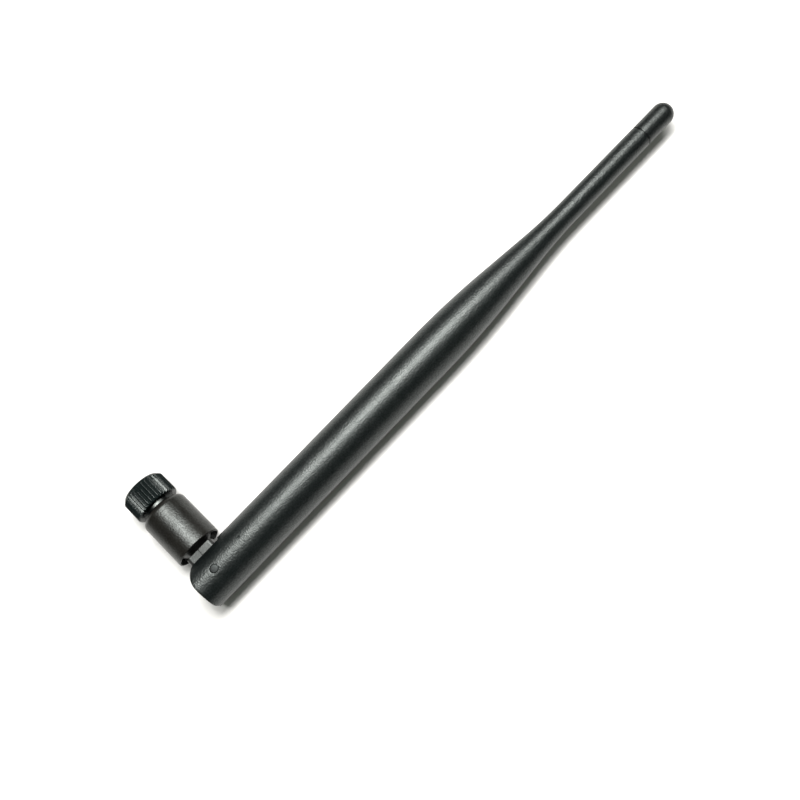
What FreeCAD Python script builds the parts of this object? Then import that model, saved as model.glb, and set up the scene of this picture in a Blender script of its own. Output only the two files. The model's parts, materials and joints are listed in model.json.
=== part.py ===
import FreeCAD, Part
import math
import os

# Tilt-and-swivel whip antenna for the 2.4 GHz band, lying on its side and folded square.
# Origin: centre of the connector's mating plane, at the front of its ferrule.
# +X runs along the connector towards the hinge, +Y along the radome towards its tip,
# and +Z is parallel to the hinge pins. All sizes are in millimetres.

V = FreeCAD.Vector
os.makedirs("parts", exist_ok=True)

# ---- driving dimensions: connector and coupling nut, stations along X ----
NUT_MOUTH_X = -3.0
NUT_LENGTH = 6.75
NUT_CREST_R = 6.17
KNURL_RIDGES = 36
KNURL_DEPTH = 0.42
GRIP_CHAMFER = 0.9
NECK_R = 4.42
NECK_END_X = 4.85
THREAD_R = 2.8
THREAD_CHAMFER = 0.35
RELIEF_R = 3.05
FERRULE_R = 2.295
BEAD_R = 2.05
FLANGE_X = 2.4
FLANGE_R = 2.95
FLANGE_END_X = 2.9
STEM_R = 2.6
STEM_END_X = 14.0
CRIMP_END_X = 17.2
CRIMP_R = 0.75
RUNNING_GAP = 0.05
PRESS_GAP = 0.02
PAST = 1.0
NUT_RIM_FILLET = 0.25
NUT_RING_X = 3.3
NUT_RING_WIDTH = 0.4
NUT_RING_SEAT_R = 2.2
NUT_RING_R = 3.2
NUT_RING_OPENING = 1.2
SWIVEL_CLIP_X = 12.95
SWIVEL_CLIP_WIDTH = 0.5
SWIVEL_CLIP_SEAT_R = 2.1
SWIVEL_CLIP_R = 3.3
SWIVEL_CLIP_OPENING = 1.4
RING_CLEARANCE = 0.1
FERRULE_CHAMFER = 0.15
CONTACT_FACE_X = 0.1
CONTACT_END_X = 5.5
CONTACT_R = 0.65
TINE_LENGTH = 1.9
TINE_SLIT = 0.14
SOLDER_CUP_X = 4.4
BEAD_END_X = 5.95
BEAD_SEAT_END_X = 6.0
PIN_SOCKET_R = 0.47
PIN_SOCKET_DEPTH = 2.6
CRIMP_TUBE_R = 1.65
CRIMP_WAIST_R = 1.5

# ---- driving dimensions: sleeve, knuckle and hinge ----
SLEEVE_FRONT_X = 4.95
SLEEVE_LENGTH = 14.3
SLEEVE_R = 6.376
SLEEVE_SHOULDER_R = 1.65
SLEEVE_RIM_CHAMFER = 0.2
SLEEVE_FRONT_WALL = 1.3
SLEEVE_MOUTH_R = 5.95
SLEEVE_FLARE_LENGTH = 1.2
BORE_R = 5.25
INSERT_R = 5.22
HUB_END_X = 17.9
HUB_CABLE_R = 2.0
HINGE_X = 27.2
TONGUE_START_X = 20.25
TONGUE_HALF_WIDTH = 4.0
TONGUE_HALF_THICKNESS = 3.6
TONGUE_EDGE_R = 1.0
NECK_CONE_R = 2.2
NECK_OVERLAP = 0.5
SLOT_HALF_WIDTH = 3.75
SLOT_BOTTOM_Y = 5.3
SEAM_WIDTH = 0.35
SEAM_DEPTH = 0.8
CABLE_SLOT_HALF_WIDTH = 0.85
CABLE_SLOT_Y = (-1.3, 6.7)
HINGE_PIN_R = 1.1
PIN_FIT = 0.01
PIN_SET_BACK = 0.1
PIN_INSET = 0.1

# ---- driving dimensions: radome, stations along Y ----
RADOME_END_Y = -6.75
RADOME_R = 6.4
SHOULDER_Y = 76.3
SHOULDER_R = 6.38
TAPER_ANGLE = math.radians(5.42)
SHOULDER_ARC_R = 264.0
NECK_ARC_R = 158.0
THIN_R = 3.12
THIN_END_R = 3.08
RADOME_TOP_Y = 158.0
EAR_ARC_OFFSET = 0.5
BACK_CORNER_R = 0.8
YOKE_TOP_Y = 14.0
THIN_BORE_R = 2.0
BORE_LEAD = 1.5
TOP_CHAMFER = 0.15
CAP_R = 3.06
CAP_GROOVE = 0.45
CAP_GROOVE_DEPTH = 0.25
CAP_RIM = 0.1
CAP_SPIGOT = 5.0
TIP_Y = 169.8

# ---- driving dimensions: coaxial cable and radiating element ----
JACKET_R = 0.685
BRAID_R = 0.55
CABLE_CORE_R = 0.36
CONDUCTOR_R = 0.15
CABLE_GAP = 0.2
CABLE_ARC_R = 4.5
CHOKE_START_Y = 33.0
CHOKE_END_Y = 61.0
CHOKE_R = 2.3
CHOKE_WALL = 0.3
CHOKE_CUP_WALL = 0.5
JACKET_END_Y = 58.0
BRAID_END_Y = 61.6
WIRE_R = 0.5
WIRE_START_Y = 64.0
COIL_START_Y = 92.0
COIL_TURNS = 5
COIL_PITCH = 1.8
COIL_R = 1.6
WIRE_END_Y = 150.0
WIRE_SOCKET = 2.0
CHOKE_SPACER_Y = (34.0, 37.0)
FOAM_LOWER_Y = (44.0, 50.0)
FOAM_UPPER_Y = (72.0, 76.0)
TIP_SPACER_Y = (141.0, 146.0)
FOAM_GAP = 0.03
FEED_SHRINK_Y = (62.0, 69.0)
FEED_SHRINK_R = 0.85
COIL_SHRINK_Y = (90.0, 103.0)
COIL_SHRINK_R = 2.4
COIL_SHRINK_BORE_R = 2.15

X_AXIS = V(1, 0, 0)
Y_AXIS = V(0, 1, 0)
Z_AXIS = V(0, 0, 1)
HINGE = V(HINGE_X, 0, 0)


def across_hinge(radius):
    """Rod through both ears about the hinge's axis, for cutting the pin holes."""
    reach = RADOME_R + PAST
    return Part.makeCylinder(radius, 2 * reach, HINGE - Z_AXIS * reach)


def save(name, shape):
    """Writes one sub-part and prints its volume."""
    solids = shape.Solids
    body = solids[0] if len(solids) == 1 else Part.makeCompound(solids)
    body.exportStep(f"parts/{name}.step")
    print(f"{name}: {len(solids)} solid, valid {body.isValid()}, {body.Volume:.2f} mm3")


def rod_x(start, end, radius):
    """Solid rod about the connector's axis."""
    return Part.makeCylinder(radius, end - start, V(start, 0, 0), X_AXIS)


def rod_y(start, end, radius):
    """Solid rod about the radome's axis."""
    return Part.makeCylinder(radius, end - start, V(HINGE_X, start, 0), Y_AXIS)


def collar(stations, outer, core):
    """Tube about the radome's axis that fits closely over a core."""
    start, end = stations
    return rod_y(start, end, outer).cut(rod_y(start, end, core + PRESS_GAP))


def outline(start, *steps):
    """Closed face through points (a, b). A step of two points is an arc: its middle and its end."""
    edges = []
    here = V(*start, 0)
    for step in steps:
        if isinstance(step[0], tuple):
            middle = V(*step[0], 0)
            there = V(*step[1], 0)
            edges.append(Part.Arc(here, middle, there).toShape())
        else:
            there = V(*step, 0)
            edges.append(Part.LineSegment(here, there).toShape())
        here = there
    if here.distanceToPoint(V(*start, 0)) > 1e-6:
        edges.append(Part.LineSegment(here, V(*start, 0)).toShape())
    return Part.Face(Part.Wire(edges))


def turn_x(start, *steps):
    """Body of revolution about the connector's axis. Points are (x, radius)."""
    return outline(start, *steps).revolve(V(0, 0, 0), X_AXIS, 360)


def turn_y(start, *steps):
    """Body of revolution about the radome's axis. Points are (radius, y)."""
    face = outline(start, *steps)
    face.translate(HINGE)
    return face.revolve(HINGE, Y_AXIS, 360)


def corner(centre, radius, angle):
    """Point on a rounded corner, at an angle in degrees from +X."""
    turn = math.radians(angle)
    return (centre[0] + radius * math.cos(turn), centre[1] + radius * math.sin(turn))


def split_ring(start, width, seat, outer, gap):
    """Spring ring about the connector's axis, open on its +Y side."""
    ring = rod_x(start, start + width, outer)
    ring = ring.cut(rod_x(start, start + width, seat + PRESS_GAP))
    opening = Part.makeBox(width + 2 * PAST, outer + PAST, gap, V(start - PAST, 0, -gap / 2))
    return ring.cut(opening)


# ---- coupling nut ----


def nut_grip():
    """Plastic grip with straight V ridges and chamfered ends."""
    points = []
    for ridge in range(KNURL_RIDGES):
        for part, radius in ((0, NUT_CREST_R), (0.5, NUT_CREST_R - KNURL_DEPTH)):
            angle = 2 * math.pi * (ridge + part) / KNURL_RIDGES
            points.append(V(NUT_MOUTH_X, radius * math.cos(angle), radius * math.sin(angle)))
    star = Part.Face(Part.makePolygon(points + points[:1]))
    ridges = star.extrude(X_AXIS * NUT_LENGTH)
    end_x = NUT_MOUTH_X + NUT_LENGTH
    inner = NUT_CREST_R - GRIP_CHAMFER
    envelope = turn_x(
        (NUT_MOUTH_X, 0),
        (NUT_MOUTH_X, inner),
        (NUT_MOUTH_X + GRIP_CHAMFER, NUT_CREST_R),
        (end_x - KNURL_DEPTH, NUT_CREST_R),
        (end_x, NUT_CREST_R - KNURL_DEPTH),
        (end_x, 0),
    )
    return ridges.common(envelope).cut(rod_x(NUT_MOUTH_X - PAST, end_x + PAST, NECK_R))


def nut_insert():
    """Threaded metal nut with a neck behind the grip and a groove for its ring."""
    groove_start = NUT_RING_X - RING_CLEARANCE
    groove_end = NUT_RING_X + NUT_RING_WIDTH + RING_CLEARANCE
    ring_groove = rod_x(groove_start, groove_end, NUT_RING_R + RING_CLEARANCE)
    rear_bore = rod_x(FLANGE_END_X, NECK_END_X + PAST, STEM_R + RUNNING_GAP)
    front_bore = turn_x(
        (NUT_MOUTH_X, 0),
        (NUT_MOUTH_X, THREAD_R + THREAD_CHAMFER),
        (NUT_MOUTH_X + THREAD_CHAMFER, THREAD_R),
        (0, THREAD_R),
        (0, RELIEF_R),
        (FLANGE_END_X + RUNNING_GAP, RELIEF_R),
        (FLANGE_END_X + RUNNING_GAP, 0),
    )
    blank = rod_x(NUT_MOUTH_X, NECK_END_X, NECK_R)
    rim = [e for e in blank.Edges if abs(e.BoundBox.XMin - NECK_END_X) < 1e-6]
    blank = blank.makeFillet(NUT_RIM_FILLET, rim[:1])
    return blank.cut(front_bore).cut(ring_groove).cut(rear_bore)


# ---- connector ----


def connector_body():
    """Turned outer conductor: ferrule, flange, swivel stem with two ring grooves, crimp stem."""
    nut_groove_end = NUT_RING_X + NUT_RING_WIDTH + RUNNING_GAP
    clip_groove_end = SWIVEL_CLIP_X + SWIVEL_CLIP_WIDTH + RUNNING_GAP
    outside = turn_x(
        (0, 0),
        (0, FERRULE_R - FERRULE_CHAMFER),
        (FERRULE_CHAMFER, FERRULE_R),
        (FLANGE_X, FERRULE_R),
        (FLANGE_X, FLANGE_R),
        (FLANGE_END_X, FLANGE_R),
        (FLANGE_END_X, STEM_R),
        (NUT_RING_X - RUNNING_GAP, STEM_R),
        (NUT_RING_X - RUNNING_GAP, NUT_RING_SEAT_R),
        (nut_groove_end, NUT_RING_SEAT_R),
        (nut_groove_end, STEM_R),
        (SWIVEL_CLIP_X - RUNNING_GAP, STEM_R),
        (SWIVEL_CLIP_X - RUNNING_GAP, SWIVEL_CLIP_SEAT_R),
        (clip_groove_end, SWIVEL_CLIP_SEAT_R),
        (clip_groove_end, STEM_R),
        (STEM_END_X, STEM_R),
        (STEM_END_X, CRIMP_R),
        (CRIMP_END_X, CRIMP_R),
        (CRIMP_END_X, 0),
    )
    bead_seat = rod_x(-PAST, BEAD_SEAT_END_X, BEAD_R)
    cable_bore = rod_x(BEAD_SEAT_END_X - PAST, CRIMP_END_X + PAST, CABLE_CORE_R + RUNNING_GAP)
    return outside.cut(bead_seat).cut(cable_bore)


def connector_dielectric():
    """PTFE bead between the ferrule and the centre contact."""
    bead = rod_x(CONTACT_FACE_X, BEAD_END_X, BEAD_R - PRESS_GAP)
    return bead.cut(rod_x(-PAST, BEAD_END_X + PAST, CONTACT_R + PRESS_GAP))


def centre_contact():
    """Socket contact with four slotted tines and a solder cup at the back."""
    contact = rod_x(CONTACT_FACE_X, CONTACT_END_X, CONTACT_R)
    contact = contact.cut(rod_x(-PAST, CONTACT_FACE_X + PIN_SOCKET_DEPTH, PIN_SOCKET_R))
    for angle in (0, 90):
        slit = Part.makeBox(TINE_LENGTH, 2, TINE_SLIT, V(0, -1, -TINE_SLIT / 2))
        slit.rotate(V(0, 0, 0), X_AXIS, angle)
        contact = contact.cut(slit)
    return contact.cut(rod_x(SOLDER_CUP_X, CONTACT_END_X + PAST, CONDUCTOR_R + RUNNING_GAP))


def nut_retaining_ring():
    """Ring that keeps the nut on the connector and lets it turn."""
    return split_ring(
        NUT_RING_X, NUT_RING_WIDTH, NUT_RING_SEAT_R, NUT_RING_R, NUT_RING_OPENING
    )


def swivel_clip():
    """Ring that keeps the knuckle on the connector's stem and lets it swivel."""
    return split_ring(
        SWIVEL_CLIP_X, SWIVEL_CLIP_WIDTH, SWIVEL_CLIP_SEAT_R, SWIVEL_CLIP_R, SWIVEL_CLIP_OPENING
    )


def crimp_ferrule():
    """Crimped tube over the crimp stem and the first millimetre of cable jacket."""
    barrel = rod_x(STEM_END_X + 0.1, CRIMP_END_X + 1.2, CRIMP_TUBE_R)
    waist = rod_x(STEM_END_X + 0.8, CRIMP_END_X - 0.3, CRIMP_TUBE_R + PAST)
    waist = waist.cut(rod_x(0, HINGE_X, CRIMP_WAIST_R))
    return barrel.cut(waist).cut(rod_x(0, HINGE_X, CRIMP_R + PRESS_GAP))


def coax_tail():
    """Cable end at the connector, stripped in steps, up to the start of the hinge bend."""
    insulation_x = BEAD_SEAT_END_X + RUNNING_GAP
    jacket = rod_x(CRIMP_END_X + 0.1, HINGE_X - CABLE_ARC_R, JACKET_R)
    insulation = rod_x(insulation_x, CRIMP_END_X + CABLE_GAP, CABLE_CORE_R)
    conductor = rod_x(SOLDER_CUP_X + 0.1, insulation_x + RUNNING_GAP, CONDUCTOR_R)
    return jacket.fuse(insulation).fuse(conductor).removeSplitter()


# ---- knuckle ----


def base_sleeve():
    """Outer sleeve: rounded front shoulder, bearing hole in front, flared hinge end."""
    end_x = SLEEVE_FRONT_X + SLEEVE_LENGTH
    shoulder = (SLEEVE_FRONT_X + SLEEVE_SHOULDER_R, SLEEVE_R - SLEEVE_SHOULDER_R)
    outside = turn_x(
        (SLEEVE_FRONT_X, 0),
        (SLEEVE_FRONT_X, shoulder[1]),
        (corner(shoulder, SLEEVE_SHOULDER_R, 135), corner(shoulder, SLEEVE_SHOULDER_R, 90)),
        (end_x - SLEEVE_RIM_CHAMFER, SLEEVE_R),
        (end_x, SLEEVE_R - SLEEVE_RIM_CHAMFER),
        (end_x, 0),
    )
    front_wall_end = SLEEVE_FRONT_X + SLEEVE_FRONT_WALL
    bearing = rod_x(0, front_wall_end + PAST, STEM_R + RUNNING_GAP)
    flare_x = end_x - SLEEVE_FLARE_LENGTH
    bore = turn_x(
        (front_wall_end, 0),
        (front_wall_end, BORE_R),
        (flare_x, BORE_R),
        (end_x, SLEEVE_MOUTH_R),
        (end_x + PAST, SLEEVE_MOUTH_R),
        (end_x + PAST, 0),
    )
    return outside.cut(bore).cut(bearing)


def tongue():
    """Thick tongue with a round end about the hinge and rounded long edges."""
    start_x = TONGUE_START_X
    width = 2 * TONGUE_HALF_WIDTH
    thickness = 2 * TONGUE_HALF_THICKNESS
    corner_point = V(start_x, -TONGUE_HALF_WIDTH, -TONGUE_HALF_THICKNESS)
    plate = Part.makeBox(HINGE_X - start_x, width, thickness, corner_point)
    foot = HINGE - Z_AXIS * TONGUE_HALF_THICKNESS
    blade = plate.fuse(Part.makeCylinder(TONGUE_HALF_WIDTH, thickness, foot)).removeSplitter()
    edges = []
    for edge in blade.Edges:
        box = edge.BoundBox
        on_face = box.ZLength < 1e-6
        at_root = box.XLength < 1e-6
        if on_face and not at_root:
            edges.append(edge)
    return blade.makeFillet(TONGUE_EDGE_R, edges)


def knuckle_core():
    """Hub round the connector's stem, a cone, and the tongue that carries the hinge pins."""
    front_x = SLEEVE_FRONT_X + SLEEVE_FRONT_WALL + RUNNING_GAP
    blank = turn_x(
        (front_x, 0),
        (front_x, INSERT_R),
        (HUB_END_X, INSERT_R),
        (TONGUE_START_X, NECK_CONE_R),
        (TONGUE_START_X + NECK_OVERLAP, NECK_CONE_R),
        (TONGUE_START_X + NECK_OVERLAP, 0),
    )
    hub = blank.fuse(tongue())
    bearing_r = STEM_R + RUNNING_GAP
    clip_start = SWIVEL_CLIP_X - RING_CLEARANCE
    clip_end = SWIVEL_CLIP_X + SWIVEL_CLIP_WIDTH + RING_CLEARANCE
    clip_pocket_r = SWIVEL_CLIP_R + RING_CLEARANCE
    stem_stop = STEM_END_X + RING_CLEARANCE
    crimp_stop = CRIMP_END_X + 1.4
    cable_r = JACKET_R + CABLE_GAP
    cable_arc_x = HINGE_X - CABLE_ARC_R
    hollow = turn_x(
        (front_x - PAST, 0),
        (front_x - PAST, bearing_r),
        (clip_start, bearing_r),
        (clip_start, clip_pocket_r),
        (clip_end, clip_pocket_r),
        (clip_end, bearing_r),
        (stem_stop, bearing_r),
        (stem_stop, HUB_CABLE_R),
        (crimp_stop, HUB_CABLE_R),
        (crimp_stop, cable_r),
        (cable_arc_x, cable_r),
        (cable_arc_x, 0),
    )
    slot_corner = V(cable_arc_x - PAST, CABLE_SLOT_Y[0], -CABLE_SLOT_HALF_WIDTH)
    slot_length = CABLE_SLOT_Y[1] - CABLE_SLOT_Y[0]
    cable_slot = Part.makeBox(HINGE_X, slot_length, 2 * CABLE_SLOT_HALF_WIDTH, slot_corner)
    seam_corner = V(TONGUE_START_X, -SEAM_WIDTH / 2, TONGUE_HALF_THICKNESS - SEAM_DEPTH)
    seam = Part.makeBox(HINGE_X, SEAM_WIDTH, PAST, seam_corner)
    pin_hole = across_hinge(HINGE_PIN_R + RUNNING_GAP)
    return hub.cut(hollow).cut(cable_slot).cut(pin_hole).cut(seam)


def coax_hinge():
    """The cable's bend inside the hinge."""
    start = V(HINGE_X - CABLE_ARC_R, 0, 0)
    centre = V(start.x, CABLE_ARC_R, 0)
    middle = centre + V(math.sin(math.pi / 4), -math.cos(math.pi / 4), 0) * CABLE_ARC_R
    path = Part.Wire([Part.Arc(start, middle, V(HINGE_X, CABLE_ARC_R, 0)).toShape()])
    section = Part.Wire([Part.makeCircle(JACKET_R, start, X_AXIS)])
    return path.makePipeShell([section], True, True)


# ---- radome ----


def hinge_end_outline():
    """Prism for the radome's hinge end: swept round the hinge in front, square at the back."""
    arc_r = -RADOME_END_Y
    front = (HINGE_X + EAR_ARC_OFFSET, 0)
    back = (HINGE_X + RADOME_R - BACK_CORNER_R, RADOME_END_Y + BACK_CORNER_R)
    left_x = HINGE_X - RADOME_R
    right_x = HINGE_X + RADOME_R
    face = outline(
        (left_x, TIP_Y),
        (left_x, SLOT_BOTTOM_Y),
        corner(front, arc_r, 180),
        (corner(front, arc_r, 225), corner(front, arc_r, 270)),
        (back[0], RADOME_END_Y),
        (corner(back, BACK_CORNER_R, 315), corner(back, BACK_CORNER_R, 0)),
        (right_x, TIP_Y),
    )
    height = RADOME_R + PAST
    face.translate(V(0, 0, -height))
    return face.extrude(V(0, 0, 2 * height))


def hinge_slot(depth):
    """Slot for the tongue, open at the hinge end, from the front through the given depth."""
    slot_corner = V(HINGE_X - RADOME_R - PAST, RADOME_END_Y - PAST, -SLOT_HALF_WIDTH)
    length = SLOT_BOTTOM_Y - RADOME_END_Y + PAST
    return Part.makeBox(depth + PAST, length, 2 * SLOT_HALF_WIDTH, slot_corner)


def radome_shell():
    """Tapered tube. A convex arc, a cone and a hollow arc lead from the barrel to the thin end."""
    sine = math.sin(TAPER_ANGLE)
    drop = 1 - math.cos(TAPER_ANGLE)
    half = TAPER_ANGLE / 2
    cone_start = (SHOULDER_R - SHOULDER_ARC_R * drop, SHOULDER_Y + SHOULDER_ARC_R * sine)
    cone_end_r = THIN_R + NECK_ARC_R * drop
    cone_end = (cone_end_r, cone_start[1] + (cone_start[0] - cone_end_r) / math.tan(TAPER_ANGLE))
    thin_start = (THIN_R, cone_end[1] + NECK_ARC_R * sine)
    shoulder_middle = (
        SHOULDER_R - SHOULDER_ARC_R * (1 - math.cos(half)),
        SHOULDER_Y + SHOULDER_ARC_R * math.sin(half),
    )
    neck_middle = (
        THIN_R + NECK_ARC_R * (1 - math.cos(half)),
        thin_start[1] - NECK_ARC_R * math.sin(half),
    )
    outside = turn_y(
        (0, RADOME_END_Y),
        (RADOME_R, RADOME_END_Y),
        (SHOULDER_R, SHOULDER_Y),
        (shoulder_middle, cone_start),
        cone_end,
        (neck_middle, thin_start),
        (THIN_END_R, RADOME_TOP_Y - TOP_CHAMFER),
        (THIN_END_R - TOP_CHAMFER, RADOME_TOP_Y),
        (0, RADOME_TOP_Y),
    )
    inside = turn_y(
        (0, RADOME_END_Y - PAST),
        (BORE_R, RADOME_END_Y - PAST),
        (BORE_R, SHOULDER_Y),
        (THIN_BORE_R, thin_start[1] - BORE_LEAD),
        (THIN_BORE_R, RADOME_TOP_Y + PAST),
        (0, RADOME_TOP_Y + PAST),
    )
    shell = outside.cut(inside).common(hinge_end_outline())
    return shell.cut(hinge_slot(RADOME_R)).cut(across_hinge(HINGE_PIN_R + PIN_FIT))


def hinge_yoke():
    """Fork insert: two half-round ears and a plug with the cable hole."""
    yoke = rod_y(RADOME_END_Y, YOKE_TOP_Y, INSERT_R).common(hinge_end_outline())
    cable_hole = rod_y(0, YOKE_TOP_Y + PAST, JACKET_R + CABLE_GAP)
    pin_hole = across_hinge(HINGE_PIN_R + PIN_FIT)
    return yoke.cut(hinge_slot(2 * RADOME_R + PAST)).cut(cable_hole).cut(pin_hole)


def hinge_pin(side):
    """Stub pin through one ear into the tongue's wall. side is 1 above and -1 below."""
    inner_z = CABLE_SLOT_HALF_WIDTH + PIN_INSET
    outer_z = RADOME_R - PIN_SET_BACK
    foot = HINGE + Z_AXIS * (inner_z if side > 0 else -outer_z)
    return Part.makeCylinder(HINGE_PIN_R, outer_z - inner_z, foot)


def tip_cap():
    """Cap with a hemispherical end, a recessed collar and a spigot in the tube's bore."""
    head_y = RADOME_TOP_Y + CAP_GROOVE
    dome = (0, TIP_Y - CAP_R)
    return turn_y(
        (0, RADOME_TOP_Y - CAP_SPIGOT),
        (THIN_BORE_R - 0.25, RADOME_TOP_Y - CAP_SPIGOT),
        (THIN_BORE_R - PRESS_GAP, RADOME_TOP_Y - CAP_SPIGOT + 0.6),
        (THIN_BORE_R - PRESS_GAP, RADOME_TOP_Y),
        (CAP_R - CAP_GROOVE_DEPTH, RADOME_TOP_Y),
        (CAP_R - CAP_GROOVE_DEPTH, head_y),
        (CAP_R - CAP_RIM, head_y),
        (CAP_R, head_y + CAP_RIM),
        (CAP_R, dome[1]),
        (corner(dome, CAP_R, 45), (0, TIP_Y)),
    )


# ---- radiating element ----


def coax_upper():
    """Cable from the hinge to the feed point, stripped in steps."""
    jacket = rod_y(CABLE_ARC_R, JACKET_END_Y, JACKET_R)
    braid = rod_y(JACKET_END_Y - 0.1, BRAID_END_Y, BRAID_R)
    insulation = rod_y(BRAID_END_Y - 0.1, WIRE_START_Y - 0.1, CABLE_CORE_R)
    conductor = rod_y(WIRE_START_Y - 0.2, WIRE_START_Y + WIRE_SOCKET - 0.1, CONDUCTOR_R)
    return jacket.fuse(braid).fuse(insulation).fuse(conductor).removeSplitter()


def choke_sleeve():
    """Quarter-wave brass tube, closed at its feed end except for the cable's braid."""
    cup = rod_y(CHOKE_START_Y, CHOKE_END_Y, CHOKE_R)
    cup_end_y = CHOKE_END_Y - CHOKE_CUP_WALL
    inside = rod_y(CHOKE_START_Y - PAST, cup_end_y, CHOKE_R - CHOKE_WALL)
    return cup.cut(inside).cut(rod_y(0, CHOKE_END_Y + PAST, BRAID_R + PIN_FIT))


def choke_solder():
    """Solder fillet between the braid and the choke's end."""
    return turn_y(
        (BRAID_R + PIN_FIT, CHOKE_END_Y),
        (1.5, CHOKE_END_Y),
        ((0.95, CHOKE_END_Y + 0.25), (BRAID_R + PIN_FIT, CHOKE_END_Y + 0.5)),
    )


def radiator():
    """Upper wire, with a phasing coil between its quarter-wave and half-wave lengths."""
    socket = rod_y(WIRE_START_Y - PAST, WIRE_START_Y + WIRE_SOCKET, CONDUCTOR_R + PRESS_GAP)
    lower = rod_y(WIRE_START_Y, COIL_START_Y, WIRE_R).cut(socket)
    coil_length = COIL_TURNS * COIL_PITCH
    helix = Part.makeHelix(COIL_PITCH, coil_length, COIL_R)
    section = Part.Wire([Part.makeCircle(WIRE_R, V(COIL_R, 0, 0), Y_AXIS)])
    coil = Part.Wire(helix).makePipeShell([section], True, True)
    coil.rotate(V(0, 0, 0), X_AXIS, -90)
    coil.translate(V(HINGE_X, COIL_START_Y, 0))
    reach = COIL_R + WIRE_R
    lead = Part.makeCylinder(WIRE_R, reach, HINGE + V(0, COIL_START_Y, 0), X_AXIS)
    top_y = COIL_START_Y + coil_length
    tail = Part.makeCylinder(WIRE_R, reach, HINGE + V(0, top_y, 0), X_AXIS)
    upper = rod_y(top_y, WIRE_END_Y, WIRE_R)
    ends = [Part.makeSphere(WIRE_R, HINGE + V(0, y, 0)) for y in (COIL_START_Y, top_y)]
    return lower.multiFuse([lead, coil, tail, upper] + ends)


def build():
    save("nut_grip", nut_grip())
    save("nut_insert", nut_insert())
    save("connector_body", connector_body())
    save("connector_dielectric", connector_dielectric())
    save("centre_contact", centre_contact())
    save("nut_retaining_ring", nut_retaining_ring())
    save("swivel_clip", swivel_clip())
    save("crimp_ferrule", crimp_ferrule())
    save("coax_tail", coax_tail())
    save("base_sleeve", base_sleeve())
    save("knuckle_core", knuckle_core())
    save("coax_hinge", coax_hinge())
    save("radome_shell", radome_shell())
    save("hinge_yoke", hinge_yoke())
    save("hinge_pin_upper", hinge_pin(1))
    save("hinge_pin_lower", hinge_pin(-1))
    save("tip_cap", tip_cap())
    save("coax_upper", coax_upper())
    save("choke_sleeve", choke_sleeve())
    save("choke_spacer", collar(CHOKE_SPACER_Y, CHOKE_R - CHOKE_WALL - FOAM_GAP, JACKET_R))
    save("choke_solder", choke_solder())
    save("radiator", radiator())
    save("feed_shrink", collar(FEED_SHRINK_Y, FEED_SHRINK_R, WIRE_R))
    save("coil_shrink", collar(COIL_SHRINK_Y, COIL_SHRINK_R, COIL_SHRINK_BORE_R))
    save("foam_spacer_lower", collar(FOAM_LOWER_Y, BORE_R - FOAM_GAP, CHOKE_R))
    save("foam_spacer_upper", collar(FOAM_UPPER_Y, BORE_R - FOAM_GAP, WIRE_R))
    save("tip_spacer", collar(TIP_SPACER_Y, THIN_BORE_R - FOAM_GAP, WIRE_R))


build()
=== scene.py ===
import json
import math

import bpy
from mathutils import Matrix, Vector


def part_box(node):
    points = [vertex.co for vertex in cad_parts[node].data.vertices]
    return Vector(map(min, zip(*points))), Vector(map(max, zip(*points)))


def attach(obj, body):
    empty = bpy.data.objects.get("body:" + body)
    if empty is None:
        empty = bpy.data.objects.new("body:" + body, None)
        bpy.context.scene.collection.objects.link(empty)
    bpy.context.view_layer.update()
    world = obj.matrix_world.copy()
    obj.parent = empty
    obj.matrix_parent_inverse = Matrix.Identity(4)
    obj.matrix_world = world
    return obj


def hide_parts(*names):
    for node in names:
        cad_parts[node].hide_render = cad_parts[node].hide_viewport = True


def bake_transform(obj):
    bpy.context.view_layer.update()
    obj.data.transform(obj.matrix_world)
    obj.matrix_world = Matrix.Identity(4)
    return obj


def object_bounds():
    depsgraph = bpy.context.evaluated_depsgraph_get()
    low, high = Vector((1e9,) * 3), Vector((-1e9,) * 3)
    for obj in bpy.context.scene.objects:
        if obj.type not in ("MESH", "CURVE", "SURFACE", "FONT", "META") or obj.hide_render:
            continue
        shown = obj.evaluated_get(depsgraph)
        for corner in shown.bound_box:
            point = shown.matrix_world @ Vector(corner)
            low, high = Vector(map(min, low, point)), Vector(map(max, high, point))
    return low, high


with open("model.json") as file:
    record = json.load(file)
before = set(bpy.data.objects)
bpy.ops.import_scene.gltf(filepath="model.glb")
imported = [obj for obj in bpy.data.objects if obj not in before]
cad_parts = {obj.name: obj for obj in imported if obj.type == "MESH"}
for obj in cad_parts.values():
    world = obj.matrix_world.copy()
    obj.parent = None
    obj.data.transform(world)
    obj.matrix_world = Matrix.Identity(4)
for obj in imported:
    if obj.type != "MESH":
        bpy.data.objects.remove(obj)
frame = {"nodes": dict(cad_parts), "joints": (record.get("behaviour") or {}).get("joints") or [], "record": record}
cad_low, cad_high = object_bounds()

MM = 0.001
TINY = 0.0005 * MM
JOINTS = {joint["name"]: joint for joint in frame["joints"]}
HINGE = Vector(JOINTS["tilt"]["pos_m"])

# ---- sizes read from the frame ----
SHELL_LOW, SHELL_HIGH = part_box("radome_shell")
CAP_LOW, CAP_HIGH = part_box("tip_cap")
SLEEVE_LOW, SLEEVE_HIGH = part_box("base_sleeve")
GRIP_LOW, GRIP_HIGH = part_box("nut_grip")
INSERT_LOW, INSERT_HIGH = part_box("nut_insert")
RADOME_R = SHELL_HIGH.z
SLEEVE_R = SLEEVE_HIGH.z
GRIP_R = GRIP_HIGH.z
NECK_R = INSERT_HIGH.z
CAP_R = CAP_HIGH.z

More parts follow.
